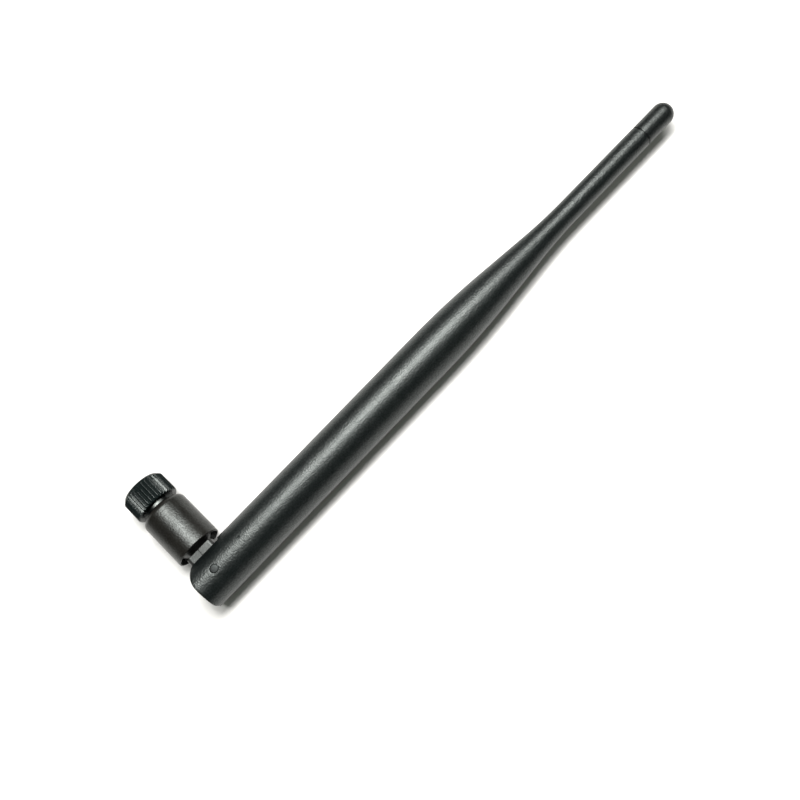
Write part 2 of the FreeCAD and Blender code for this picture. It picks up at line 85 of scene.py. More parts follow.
# ---- radome: the design's own values ----
BORE_R = 5.25 * MM
SLOT_HALF = 3.75 * MM
SLOT_BOTTOM_Y = 5.3 * MM
EAR_ARC_R = -SHELL_LOW.y
EAR_ARC_OFFSET = 0.5 * MM
BACK_CORNER_R = 0.8 * MM
SHOULDER_Y = 76.3 * MM
SHOULDER_R = 6.38 * MM
TAPER_ANGLE = math.radians(5.42)
SHOULDER_ARC_R = 264.0 * MM
NECK_ARC_R = 158.0 * MM
THIN_R = 3.12 * MM
THIN_END_R = 3.08 * MM
THIN_BORE_R = 2.0 * MM
BORE_LEAD = 1.5 * MM
RADOME_EDGE = 0.15 * MM
MARK_PLACE = HINGE + Vector((-1.05, 9.7, 6.3)) * MM
MARK_R = 0.45 * MM
MARK_DEPTH = 0.6

# ---- hinge pins ----
PIN_R = 1.1 * MM
PIN_HOLE_R = 1.13 * MM
PIN_BLOCK = 1.9 * MM
PIN_FOOT = 0.1 * MM
PIN_RIM = 0.09 * MM
PIN_CROWN = 0.03 * MM

# ---- tip cap ----
CAP_GROOVE = 0.45 * MM
CAP_GROOVE_DEPTH = 0.25 * MM
CAP_RIM = 0.12 * MM
SPIGOT_R = THIN_BORE_R - 0.02 * MM
SPIGOT_LEAD_R = THIN_BORE_R - 0.25 * MM
SPIGOT_LEAD = 0.6 * MM

# ---- sleeve ----
SLEEVE_SHOULDER_R = 1.65 * MM
SLEEVE_BORE_R = 5.25 * MM
SLEEVE_MOUTH_R = 5.95 * MM
SLEEVE_FLARE = 1.2 * MM
SLEEVE_RIM = 0.2 * MM
SLEEVE_INNER_RIM = 0.06 * MM
SLEEVE_WALL = 1.3 * MM
BEARING_R = 2.65 * MM

# ---- nut: ribbed grip and threaded insert ----
KNURL_RIDGES = 36
KNURL_RELIEF = 0.42 * MM
KNURL_CREST = 0.12
KNURL_RISE = 0.14 * MM
COLUMNS_PER_RIDGE = 14
GRIP_BAND = 0.75 * MM
GRIP_BAND_FALL = 0.4 * MM
GRIP_LIP = 0.06 * MM
GRIP_CHAMFER = 0.42 * MM
THREAD_R = 2.8 * MM
THREAD_PITCH = 25.4 / 36 * MM
THREAD_DEPTH = 0.32 * MM
THREAD_FLANK = 1.25
MOUTH_CHAMFER = 0.35 * MM
RELIEF_R = 3.05 * MM
RELIEF_END_X = 2.95 * MM
INSERT_BORE_R = 2.65 * MM
INSERT_RIM = 0.25 * MM

# ---- cable ----
CABLE_R = 0.685 * MM
CABLE_ARC_R = 4.5 * MM

# ---- camera: nearly overhead, rolled so that the radome points up and to the right ----
CAMERA_FROM_HINGE = Vector((56.8, 38.9, 250.0)) * MM
LOOK_FROM_HINGE = Vector((2.79, 62.5, 0.0)) * MM
CAMERA_ROLL = math.radians(44.04)
CAMERA_LENS = 44.88

# ---- lights: soft boxes overhead, a little to the connector's side ----
LIGHT_AIM = Vector((0.13, 0, -0.6))
LIGHT_COLOUR = (1.0, 0.985, 0.955)


def make_camera():
    """Camera at the hinge-relative place above, with its picture turned by the roll."""
    place = HINGE + CAMERA_FROM_HINGE
    ahead = (HINGE + LOOK_FROM_HINGE - place).normalized()
    rough_up = Vector((-math.sin(CAMERA_ROLL), math.cos(CAMERA_ROLL), 0))
    right = ahead.cross(rough_up).normalized()
    up = right.cross(ahead)
    turn = Matrix((right, up, -ahead)).transposed()
    data = bpy.data.cameras.new("camera")
    data.lens = CAMERA_LENS
    data.clip_start = 0.01
    data.clip_end = 20
    camera = bpy.data.objects.new("camera", data)
    camera.matrix_world = Matrix.Translation(place) @ turn.to_4x4()
    bpy.context.scene.collection.objects.link(camera)
    bpy.context.scene.camera = camera


# ---- node helpers ----


def shader(name):
    """New node material: returns it, its node tree and its Principled shader."""
    material = bpy.data.materials.new(name)
    material.use_nodes = True
    return material, material.node_tree, material.node_tree.nodes["Principled BSDF"]


def noise(tree, scale_mm, detail=3.0, roughness=0.55, stretch=None):
    """Noise over the object's own coordinates. scale_mm is the size of one blotch."""
    place = tree.nodes.new("ShaderNodeTexCoord").outputs["Object"]
    if stretch:
        mapping = tree.nodes.new("ShaderNodeMapping")
        mapping.inputs["Scale"].default_value = stretch
        tree.links.new(place, mapping.inputs["Vector"])
        place = mapping.outputs["Vector"]
    texture = tree.nodes.new("ShaderNodeTexNoise")
    texture.inputs["Scale"].default_value = 1 / (scale_mm * MM)
    texture.inputs["Detail"].default_value = detail
    texture.inputs["Roughness"].default_value = roughness
    tree.links.new(place, texture.inputs["Vector"])
    return texture.outputs["Fac"]


def span(tree, value, low, high, start=0.3, end=0.7):
    """Maps a value between start and end to the range low to high."""
    node = tree.nodes.new("ShaderNodeMapRange")
    node.inputs["From Min"].default_value = start
    node.inputs["From Max"].default_value = end
    node.inputs["To Min"].default_value = low
    node.inputs["To Max"].default_value = high
    tree.links.new(value, node.inputs["Value"])
    return node.outputs["Result"]


def two_colours(tree, value, first, second):
    """Mixes two colours by a noise value."""
    node = tree.nodes.new("ShaderNodeMix")
    node.data_type = "RGBA"
    node.inputs["A"].default_value = (*first, 1)
    node.inputs["B"].default_value = (*second, 1)
    tree.links.new(span(tree, value, 0, 1), node.inputs["Factor"])
    return node.outputs["Result"]


def bump(tree, height, strength, depth_mm, under=None):
    """Bump node. depth_mm is the height of the relief."""
    node = tree.nodes.new("ShaderNodeBump")
    node.inputs["Strength"].default_value = strength
    node.inputs["Distance"].default_value = depth_mm * MM
    tree.links.new(height, node.inputs["Height"])
    if under:
        tree.links.new(under, node.inputs["Normal"])
    return node.outputs["Normal"]


# ---- families of materials ----


def moulded_plastic(name, dark, light, rough, grain_mm, depth_mm, gloss=(0.35, 0.65)):
    """Black moulding with a spark-eroded grain, faint flow marks and uneven gloss."""
    material, tree, skin = shader(name)
    flow = noise(tree, 9.0, 2.0, stretch=(1.0, 0.3, 1.0))
    tree.links.new(two_colours(tree, flow, dark, light), skin.inputs["Base Color"])
    patches = noise(tree, 2.5, 4.0)
    tree.links.new(span(tree, patches, *rough), skin.inputs["Roughness"])
    grain = noise(tree, grain_mm, 1.0, 0.5)
    coarse = noise(tree, grain_mm * 3.2, 2.0, 0.5)
    fine_normal = bump(tree, grain, 1.0, depth_mm)
    normal = bump(tree, coarse, 0.38, depth_mm * 1.2, fine_normal)
    tree.links.new(normal, skin.inputs["Normal"])
    tree.links.new(span(tree, grain, *gloss), skin.inputs["Specular IOR Level"])
    skin.inputs["Specular Tint"].default_value = (0.93, 1.0, 0.985, 1)
    return material


def metal(name, dark, light, rough, line_mm, stretch=(1, 1, 1)):
    """Metal or plating with fine turning lines and slight tarnish."""
    material, tree, skin = shader(name)
    tarnish = noise(tree, 1.6, 4.0)
    tree.links.new(two_colours(tree, tarnish, dark, light), skin.inputs["Base Color"])
    lines = noise(tree, line_mm, 2.0, 0.5, stretch=stretch)
    tree.links.new(span(tree, lines, *rough), skin.inputs["Roughness"])
    tree.links.new(bump(tree, lines, 0.6, 0.004), skin.inputs["Normal"])
    skin.inputs["Metallic"].default_value = 1.0
    return material


def soft_solid(name, dark, light, rough, cell_mm, depth_mm):
    """Foam, PTFE, cable jacket or shrink tube: cloudy colour and a soft surface."""
    material, tree, skin = shader(name)
    cloud = noise(tree, cell_mm * 6, 3.0)
    tree.links.new(two_colours(tree, cloud, dark, light), skin.inputs["Base Color"])
    cells = noise(tree, cell_mm, 3.0)
    tree.links.new(span(tree, cells, *rough), skin.inputs["Roughness"])
    tree.links.new(bump(tree, cells, 0.5, depth_mm), skin.inputs["Normal"])
    return material


# How the lines of a metal run: round the axis when the piece is turned, along it when drawn.
TURNED_ON_X = (1.0, 0.03, 0.03)
DRAWN_ON_Y = (1.0, 0.02, 1.0)
DRAWN_ON_X = (0.02, 1.0, 1.0)


# ---- plastics ----


def add_sink_mark(material):
    """Dull spot on the radome, beside the highlight and a little above the hinge."""
    tree = material.node_tree
    skin = tree.nodes["Principled BSDF"]
    gloss = skin.inputs["Specular IOR Level"].links[0].from_socket
    here = tree.nodes.new("ShaderNodeTexCoord").outputs["Object"]
    away = tree.nodes.new("ShaderNodeVectorMath")
    away.operation = "DISTANCE"
    away.inputs[1].default_value = MARK_PLACE
    tree.links.new(here, away.inputs[0])
    spot = span(tree, away.outputs["Value"], 1 - MARK_DEPTH, 1.0, MARK_R * 0.6, MARK_R * 1.3)
    product = tree.nodes.new("ShaderNodeMath")
    product.operation = "MULTIPLY"
    tree.links.new(gloss, product.inputs[0])
    tree.links.new(spot, product.inputs[1])
    tree.links.new(product.outputs["Value"], skin.inputs["Specular IOR Level"])


def radome_plastic():
    """Deep black with a faint green in it, finely grained, with one dull spot."""
    dark = (0.0008, 0.0016, 0.0016)
    light = (0.0014, 0.0026, 0.0026)
    material = moulded_plastic(
        "radome_plastic", dark, light, (0.375, 0.43), 0.42, 0.075, (0.43, 0.71)
    )
    add_sink_mark(material)
    return material


def cap_plastic():
    """The radome's plastic from another shot: a little lighter, its grain shallower."""
    dark = (0.001, 0.0017, 0.0017)
    light = (0.0018, 0.0027, 0.0027)
    return moulded_plastic("cap_plastic", dark, light, (0.375, 0.43), 0.42, 0.062, (0.4, 0.66))


def sleeve_plastic():
    """Black with a touch of brown."""
    dark = (0.0054, 0.0048, 0.0040)
    light = (0.0082, 0.0073, 0.0062)
    return moulded_plastic("sleeve_plastic", dark, light, (0.32, 0.40), 0.42, 0.045, (0.3, 0.52))


def knuckle_plastic():
    """Dark grey, smooth."""
    dark = (0.010, 0.010, 0.0098)
    light = (0.016, 0.016, 0.0157)
    return moulded_plastic("knuckle_plastic", dark, light, (0.34, 0.44), 0.3, 0.02, (0.28, 0.46))


def yoke_plastic():
    """Plain black, smooth."""
    dark = (0.004, 0.004, 0.004)
    light = (0.007, 0.007, 0.007)
    return moulded_plastic("yoke_plastic", dark, light, (0.32, 0.42), 0.3, 0.012)


def grip_plastic():
    """Black with a faint green in it, shinier than the rest."""
    dark = (0.003, 0.005, 0.005)
    light = (0.005, 0.008, 0.008)
    return moulded_plastic("grip_plastic", dark, light, (0.17, 0.23), 0.35, 0.015, (0.15, 0.27))


# ---- metals ----


def nut_metal():
    """Black plating."""
    dark = (0.032, 0.035, 0.034)
    light = (0.048, 0.052, 0.05)
    return metal("nut_metal", dark, light, (0.26, 0.36), 0.1, TURNED_ON_X)


def connector_metal():
    """Gold plating over turned brass."""
    dark = (0.62, 0.44, 0.16)
    light = (0.83, 0.62, 0.27)
    return metal("connector_metal", dark, light, (0.16, 0.28), 0.1, TURNED_ON_X)


def contact_metal():
    """Bright gold plating."""
    dark = (0.72, 0.52, 0.2)
    light = (0.9, 0.68, 0.3)
    return metal("contact_metal", dark, light, (0.12, 0.2), 0.1, TURNED_ON_X)


def spring_metal():
    """Spring steel."""
    dark = (0.42, 0.42, 0.42)
    light = (0.6, 0.6, 0.6)
    return metal("spring_metal", dark, light, (0.25, 0.35), 0.1, DRAWN_ON_X)


def pin_metal():
    """Blackened steel."""
    dark = (0.011, 0.012, 0.012)
    light = (0.017, 0.019, 0.019)
    return metal("pin_metal", dark, light, (0.33, 0.42), 0.2)


def crimp_metal():
    """Nickel plating."""
    dark = (0.55, 0.55, 0.53)
    light = (0.72, 0.72, 0.7)
    return metal("crimp_metal", dark, light, (0.2, 0.32), 0.15, TURNED_ON_X)


def choke_metal():
    """Bare drawn brass tube."""
    dark = (0.6, 0.42, 0.18)
    light = (0.8, 0.6, 0.28)
    return metal("choke_metal", dark, light, (0.2, 0.34), 0.15, DRAWN_ON_Y)


def solder():
    """Bright tin."""
    dark = (0.6, 0.6, 0.58)
    light = (0.78, 0.78, 0.77)
    return metal("solder", dark, light, (0.15, 0.3), 0.3)


def copper_wire():
    """Bare copper."""
    dark = (0.6, 0.28, 0.15)
    light = (0.8, 0.43, 0.26)
    return metal("copper_wire", dark, light, (0.2, 0.32), 0.12, DRAWN_ON_Y)


# ---- soft and pale solids ----


def ptfe():
    """White and slightly waxy: light soaks a little way in."""
    material = soft_solid("ptfe", (0.78, 0.78, 0.74), (0.88, 0.88, 0.85), (0.35, 0.45), 0.2, 0.004)
    skin = material.node_tree.nodes["Principled BSDF"]
    skin.inputs["Subsurface Weight"].default_value = 0.3
    skin.inputs["Subsurface Scale"].default_value = 0.5 * MM
    return material


def coax_jacket():
    """Brown cable jacket."""
    dark = (0.14, 0.05, 0.02)
    light = (0.24, 0.10, 0.045)
    return soft_solid("coax_jacket", dark, light, (0.25, 0.35), 0.3, 0.006)


def shrink_tube():
    """Black shrink tube."""
    dark = (0.012, 0.012, 0.012)
    light = (0.02, 0.02, 0.02)
    return soft_solid("shrink_tube", dark, light, (0.4, 0.55), 0.4, 0.02)


def foam():
    """White closed-cell foam."""
    return soft_solid("foam", (0.6, 0.6, 0.57), (0.74, 0.74, 0.7), (0.8, 0.95), 0.35, 0.08)


MAKERS = (
    radome_plastic, cap_plastic, sleeve_plastic, knuckle_plastic, yoke_plastic, grip_plastic,
    nut_metal, connector_metal, contact_metal, spring_metal, pin_metal, crimp_metal,
    choke_metal, solder, copper_wire, ptfe, coax_jacket, shrink_tube, foam,
)
MATERIALS = {maker.__name__: maker() for maker in MAKERS}


def paint_cad_nodes():
    """Gives every CAD node the finish of its material slot."""
    for part in frame["record"]["subparts"]:
        node = frame["nodes"][part["node"]]
        node.data.materials.clear()
        node.data.materials.append(MATERIALS[part["material_slot"]])


# ---- mesh helpers ----


def arc(centre, radius, start, end, steps):
    """Points on an arc, angles in degrees."""
    points = []
    for step in range(steps + 1):
        turn = math.radians(start + (end - start) * step / steps)
        points.append((centre[0] + radius * math.cos(turn), centre[1] + radius * math.sin(turn)))
    return points


def spread(start, end, count):
    """Evenly spaced values from start to end, both included."""
    return [start + (end - start) * i / count for i in range(count + 1)]


def line(start, end, count):
    """Evenly spaced points from start to end, both included."""
    firsts = spread(start[0], end[0], count)
    seconds = spread(start[1], end[1], count)
    return list(zip(firsts, seconds))


def grid_faces(rows, columns, flip=False):
    """Quads of a grid whose rows are rings of the given number of columns."""
    faces = []
    for row in range(rows - 1):
        for column in range(columns):
            beside = (column + 1) % columns
            low = row * columns
            high = low + columns
            quad = (low + column, low + beside, high + beside, high + column)
            faces.append(quad[::-1] if flip else quad)
    return faces


def tube_faces(rows, columns):
    """Quads of a grid of rings, whose last ring also joins its first."""
    faces = grid_faces(rows, columns)
    last = (rows - 1) * columns
    for column in range(columns):
        beside = (column + 1) % columns
        faces.append((last + column, last + beside, beside, column))
    return faces


def capped_faces(rows, columns, flip=False):
    """Quads of a grid of rings, with a flat face on its first and its last ring."""
    faces = grid_faces(rows, columns, flip)
    first = tuple(range(columns))
    last = tuple(range((rows - 1) * columns, rows * columns))
    faces.append(first if flip else first[::-1])
    faces.append(last[::-1] if flip else last)
    return faces


def ring_about_x(x, radius_at, columns):
    """Ring of points about the connector's axis. radius_at gives the radius at an angle."""
    ring = []
    for column in range(columns):
        turn = 2 * math.pi * column / columns
        radius = radius_at(turn)
        ring.append((x, radius * math.cos(turn), radius * math.sin(turn)))
    return ring


def ring_about_y(y, radius, columns):
    """Ring of points about the radome's axis."""
    ring = []
    for column in range(columns):
        turn = 2 * math.pi * column / columns
        ring.append((HINGE.x - radius * math.cos(turn), y, radius * math.sin(turn)))
    return ring


def round_edges(piece, width, angle):
    """Rounds the edges sharper than an angle and evens out the shading beside them."""
    rounding = piece.modifiers.new("rounded_edges", "BEVEL")
    rounding.width = width
    rounding.segments = 3
    rounding.limit_method = "ANGLE"
    rounding.angle_limit = math.radians(angle)
    rounding.use_clamp_overlap = True
    rounding.harden_normals = False
    normals = piece.modifiers.new("even_normals", "WEIGHTED_NORMAL")
    normals.keep_sharp = False
    normals.weight = 60


def new_piece(name, vertices, faces, material, node, sharp_angle):
    """Makes a smooth-shaded piece that stands for a CAD node. sharp_angle None marks no sharp edge."""
    mesh = bpy.data.meshes.new(name)
    mesh.from_pydata(vertices, [], faces)
    mesh.validate()
    mesh.update()
    piece = bpy.data.objects.new(name, mesh)
    bpy.context.scene.collection.objects.link(piece)
    mesh.materials.append(MATERIALS[material])
    mesh.shade_smooth()
    if sharp_angle:
        mesh.set_sharp_from_angle(angle=math.radians(sharp_angle))
    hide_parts(node)
    return piece


# ---- radome: its outline ----


def taper_points():
    """Where the shoulder arc ends, where the hollow arc starts and where it ends: (y, radius)."""
    sine = math.sin(TAPER_ANGLE)
    drop = 1 - math.cos(TAPER_ANGLE)
    cone_start = (SHOULDER_Y + SHOULDER_ARC_R * sine, SHOULDER_R - SHOULDER_ARC_R * drop)
    cone_end_r = THIN_R + NECK_ARC_R * drop
    cone_length = (cone_start[1] - cone_end_r) / math.tan(TAPER_ANGLE)
    cone_end = (cone_start[0] + cone_length, cone_end_r)
    thin_start = (cone_end[0] + NECK_ARC_R * sine, THIN_R)
    return cone_start, cone_end, thin_start


CONE_START, CONE_END, THIN_START = taper_points()


def outer_radius(y):
    """Radome's radius at a station along its axis."""
    if y <= SHOULDER_Y:
        share = (y - SHELL_LOW.y) / (SHOULDER_Y - SHELL_LOW.y)
        return RADOME_R + (SHOULDER_R - RADOME_R) * share
    if y <= CONE_START[0]:
        along = y - SHOULDER_Y
        return SHOULDER_R - SHOULDER_ARC_R + math.sqrt(SHOULDER_ARC_R**2 - along**2)
    if y <= CONE_END[0]:
        return CONE_START[1] - (y - CONE_START[0]) * math.tan(TAPER_ANGLE)
    if y <= THIN_START[0]:
        along = THIN_START[0] - y
        return THIN_R + NECK_ARC_R - math.sqrt(NECK_ARC_R**2 - along**2)
    share = (y - THIN_START[0]) / (SHELL_HIGH.y - THIN_START[0])
    return THIN_R + (THIN_END_R - THIN_R) * share


def inner_radius(y):
    """Radome's bore at a station along its axis."""
    bore_end = THIN_START[0] - BORE_LEAD
    if y <= SHOULDER_Y:
        return BORE_R
    if y <= bore_end:
        return BORE_R + (THIN_BORE_R - BORE_R) * (y - SHOULDER_Y) / (bore_end - SHOULDER_Y)
    return THIN_BORE_R


def hinge_end_y(across):
    """The hinge end's station at a distance across the axis: swept in front, square behind."""
    back = RADOME_R - BACK_CORNER_R
    if across < EAR_ARC_OFFSET:
        return -math.sqrt(max(EAR_ARC_R**2 - (across - EAR_ARC_OFFSET) ** 2, 0))
    if across > back:
        away = min(across - back, BACK_CORNER_R)
        return SHELL_LOW.y + BACK_CORNER_R - math.sqrt(BACK_CORNER_R**2 - away**2)
    return SHELL_LOW.y


# ---- radome: its grid ----

# Rows below the pins' block, columns on each side of the slot's middle, and cells along
# half a side of the pins' block.
END_ROWS = 6
SLOT_COLUMNS = 8
HALF_BLOCK = 4


def radome_angles():
    """Angles round the radome from its connector side, for the outer and the inner wall."""
    outer_slot = math.asin(SLOT_HALF / RADOME_R)
    inner_slot = math.asin(SLOT_HALF / BORE_R)
    quarter = math.pi / 2
    block = math.asin(PIN_BLOCK / RADOME_R)
    half = spread(0, outer_slot, SLOT_COLUMNS)
    half += spread(outer_slot, quarter - block, 12)[1:]
    half += spread(quarter - block, quarter + block, 2 * HALF_BLOCK)[1:]
    half += spread(quarter + block, math.pi, 20)[1:]
    outer = half + [-angle for angle in half[-2:0:-1]]
    inner = []
    for angle in outer:
        size = abs(angle)
        if size <= outer_slot:
            mapped = size * inner_slot / outer_slot
        elif size < quarter:
            share = (size - outer_slot) / (quarter - outer_slot)
            mapped = inner_slot + (quarter - inner_slot) * share
        else:
            mapped = size
        inner.append(math.copysign(mapped, angle))
    return outer, inner


def radome_stations():
    """Rows along the radome, from the near side of the pins' block to the thin end."""
    rows = spread(-PIN_BLOCK, PIN_BLOCK, 2 * HALF_BLOCK)
    rows += spread(PIN_BLOCK, SLOT_BOTTOM_Y, 4)[1:]
    rows += spread(SLOT_BOTTOM_Y, SHOULDER_Y, 16)[1:]
    rows += spread(SHOULDER_Y, THIN_START[0], 44)[1:]
    rows += spread(THIN_START[0], SHELL_HIGH.y, 8)[1:]
    return rows


OUTER_ANGLES, INNER_ANGLES = radome_angles()
STATIONS = radome_stations()
COLUMNS = len(OUTER_ANGLES)
ROWS = END_ROWS + len(STATIONS)
SLOT_ROW = END_ROWS + STATIONS.index(SLOT_BOTTOM_Y)
UPPER_PIN_COLUMN = SLOT_COLUMNS + 12 + HALF_BLOCK
PIN_COLUMNS = (UPPER_PIN_COLUMN, COLUMNS - UPPER_PIN_COLUMN)


def in_slot(row, column):
    """Is a cell of the grid inside the slot?"""
    near = column < SLOT_COLUMNS or column >= COLUMNS - SLOT_COLUMNS
    return row < SLOT_ROW and near


def in_pin_block(row, column):
    """Is a cell of the grid inside the square left open round a pin hole?"""
    if not END_ROWS <= row < END_ROWS + 2 * HALF_BLOCK:
        return False
    return any(-HALF_BLOCK <= column - middle < HALF_BLOCK for middle in PIN_COLUMNS)


def radome_wall(vertices, angles, radius_at):
    """Adds the vertices of one wall, ring by ring from the hinge end. Returns their numbers."""
    wall = []
    for row in range(ROWS):
        ring = []
        for angle in angles:
            if row < END_ROWS:
                end = hinge_end_y(-radius_at(0) * math.cos(angle))
                y = end + (STATIONS[0] - end) * row / END_ROWS
            else:
                y = STATIONS[row - END_ROWS]
            radius = radius_at(y)
            ring.append(len(vertices))
            place = (HINGE.x - radius * math.cos(angle), y, radius * math.sin(angle))
            vertices.append(place)
        wall.append(ring)
    return wall


def wall_faces(wall, inside):
    """One wall's quads, open at the slot and at the pins' blocks."""
    faces = []
    for row in range(ROWS - 1):
        for column in range(COLUMNS):
            if in_slot(row, column) or in_pin_block(row, column):
                continue
            beside = (column + 1) % COLUMNS
            low, high = wall[row], wall[row + 1]
            quad = (low[column], low[beside], high[beside], high[column])
            faces.append(quad[::-1] if inside else quad)
    return faces


def end_faces(outer, inner):
    """The thin end, the hinge end and the slot's bottom, which join the two walls."""
    faces = []
    top = ROWS - 1
    for column in range(COLUMNS):
        beside = (column + 1) % COLUMNS
        faces.append((outer[top][column], outer[top][beside], inner[top][beside], inner[top][column]))
        row = SLOT_ROW if in_slot(0, column) else 0
        faces.append((inner[row][column], inner[row][beside], outer[row][beside], outer[row][column]))
    return faces


def slot_sides(outer, inner):
    """The two sides of the slot."""
    faces = []
    for row in range(SLOT_ROW):
        for column, turned in ((SLOT_COLUMNS, False), (COLUMNS - SLOT_COLUMNS, True)):
            quad = (outer[row][column], outer[row + 1][column], inner[row + 1][column], inner[row][column])
            faces.append(quad[::-1] if turned else quad)
    return faces


def block_cells(middle):
    """Corners of the grid round a pin's block, as (row, column), in order."""
    low = END_ROWS
    high = END_ROWS + 2 * HALF_BLOCK
    left = middle - HALF_BLOCK
    right = middle + HALF_BLOCK
    side = range(2 * HALF_BLOCK)
    cells = [(low, left + i) for i in side]
    cells += [(low + i, right) for i in side]
    cells += [(high, right - i) for i in side]
    cells += [(high - i, left) for i in side]
    return cells


def hole_rings(vertices, wall, radius_at, cells, sign):
    """Adds two rings between a block and its hole: one halfway, one on the hole's edge."""
    rings = []
    for share in (0.5, 0.0):
        ring = []
        for row, column in cells:
            corner = Vector(vertices[wall[row][column]])
            away = Vector((corner.x - HINGE.x, corner.y, 0))
            reach = PIN_HOLE_R + (away.length - PIN_HOLE_R) * share
            away = away.normalized() * reach
            height = math.sqrt(radius_at(away.y) ** 2 - away.x**2) * sign
            ring.append(len(vertices))
            vertices.append((HINGE.x + away.x, away.y, height))
        rings.append(ring)
    return rings


def pin_hole(vertices, outer, inner, middle):
    """A pin's round hole through the wall, with the surface round it."""
    sign = math.copysign(1, OUTER_ANGLES[middle])
    cells = block_cells(middle)
    half_out, hole_out = hole_rings(vertices, outer, outer_radius, cells, sign)
    half_in, hole_in = hole_rings(vertices, inner, inner_radius, cells, sign)
    block_out = [outer[row][column] for row, column in cells]
    block_in = [inner[row][column] for row, column in cells]
    rings = [block_out, half_out, hole_out, hole_in, half_in, block_in]
    faces = []
    for i in range(len(cells)):
        j = (i + 1) % len(cells)
        for near, far in zip(rings, rings[1:]):
            faces.append((near[i], near[j], far[j], far[i]))
    return faces


def make_radome():
    """Radome with its slot, its rounded hinge end and the two pin holes."""
    vertices = []
    outer = radome_wall(vertices, OUTER_ANGLES, outer_radius)
    inner = radome_wall(vertices, INNER_ANGLES, inner_radius)
    faces = wall_faces(outer, inside=False)
    faces += wall_faces(inner, inside=True)
    faces += end_faces(outer, inner)
    faces += slot_sides(outer, inner)
    for middle in PIN_COLUMNS:
        faces += pin_hole(vertices, outer, inner, middle)
    piece = new_piece("radome", vertices, faces, "radome_plastic", "radome_shell", None)
    round_edges(piece, RADOME_EDGE, 32)
    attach(piece, "radome")


def make_tip_cap():
    """Cap with a dome, a rounded lower rim and a recessed collar."""
    columns = 72
    head = SHELL_HIGH.y + CAP_GROOVE
    dome = (CAP_HIGH.y - CAP_R, 0)
    collar_r = CAP_R - CAP_GROOVE_DEPTH
    profile = [(CAP_LOW.y, 0.0), (CAP_LOW.y, SPIGOT_LEAD_R)]
    profile += [(CAP_LOW.y + SPIGOT_LEAD, SPIGOT_R), (SHELL_HIGH.y, SPIGOT_R)]
    profile += [(SHELL_HIGH.y, collar_r), (head, collar_r), (head, CAP_R - CAP_RIM)]
    profile += arc((head + CAP_RIM, CAP_R - CAP_RIM), CAP_RIM, 180, 90, 4)[1:]
    profile += line((head + CAP_RIM, CAP_R), (dome[0], CAP_R), 4)[1:]
    profile += arc(dome, CAP_R, 90, 0, 20)[1:]
    vertices = []
    for y, radius in profile:
        vertices += ring_about_y(y, max(radius, TINY), columns)
    faces = capped_faces(len(profile), columns)
    piece = new_piece("tip_cap_dome", vertices, faces, "cap_plastic", "tip_cap", 40)
    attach(piece, "radome")


# ---- sleeve and nut ----


def make_sleeve():
    """Sleeve with a rounded front shoulder, a flared hinge end and a bearing hole."""
    columns = 128
    front = SLEEVE_LOW.x
    back = SLEEVE_HIGH.x
    shoulder = (front + SLEEVE_SHOULDER_R, SLEEVE_R - SLEEVE_SHOULDER_R)
    rim = (back - SLEEVE_RIM, SLEEVE_R - SLEEVE_RIM)
    inner_rim = (back - SLEEVE_INNER_RIM, SLEEVE_MOUTH_R + SLEEVE_INNER_RIM)
    flare_start = (back - SLEEVE_FLARE, SLEEVE_BORE_R)
    wall_end = front + SLEEVE_WALL
    profile = [(front, BEARING_R)]
    profile += line((front, BEARING_R), (front, shoulder[1]), 2)[1:]
    profile += arc(shoulder, SLEEVE_SHOULDER_R, 180, 90, 14)[1:]
    profile += line((shoulder[0], SLEEVE_R), (rim[0], SLEEVE_R), 8)[1:]
    profile += arc(rim, SLEEVE_RIM, 90, 0, 5)[1:]
    profile += arc(inner_rim, SLEEVE_INNER_RIM, 0, -90, 4)
    profile += line((inner_rim[0], SLEEVE_MOUTH_R), flare_start, 4)[1:]
    profile += line(flare_start, (wall_end, SLEEVE_BORE_R), 4)[1:]
    profile += [(wall_end, BEARING_R)]
    vertices = []
    for x, radius in profile:
        vertices += ring_about_x(x, lambda turn, radius=radius: radius, columns)
    faces = tube_faces(len(profile), columns)
    piece = new_piece("sleeve", vertices, faces, "sleeve_plastic", "base_sleeve", 35)
    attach(piece, "knuckle")


def ridge_radius(turn):
    """Radius of the ribbed grip at an angle: V grooves with slightly rounded crests."""
    phase = (turn * KNURL_RIDGES / (2 * math.pi)) % 1.0
    away = abs(2 * phase - 1)
    if away < KNURL_CREST:
        fall = away * away / (2 * KNURL_CREST)
    else:
        fall = away - KNURL_CREST / 2
    return GRIP_R - KNURL_RELIEF * fall / (1 - KNURL_CREST / 2)


def grip_envelope(x):
    """Largest radius of the grip at a station: lip, smooth band, rise to the ridges, rear chamfer."""
    front = GRIP_LOW.x
    back = GRIP_HIGH.x
    ridge_start = front + GRIP_BAND
    band_r = GRIP_R - KNURL_RELIEF
    if x < front + GRIP_LIP:
        return band_r - GRIP_BAND_FALL - (front + GRIP_LIP - x)
    if x < ridge_start:
        away = 1 - (x - front) / GRIP_BAND
        return band_r - GRIP_BAND_FALL * away**1.5
    if x < ridge_start + KNURL_RISE:
        return GRIP_R - KNURL_RELIEF * (ridge_start + KNURL_RISE - x) / KNURL_RISE
    if x > back - GRIP_CHAMFER:
        away = 1 - (back - x) / GRIP_CHAMFER
        return GRIP_R - GRIP_CHAMFER * away * (0.5 + 0.5 * away)
    return GRIP_R


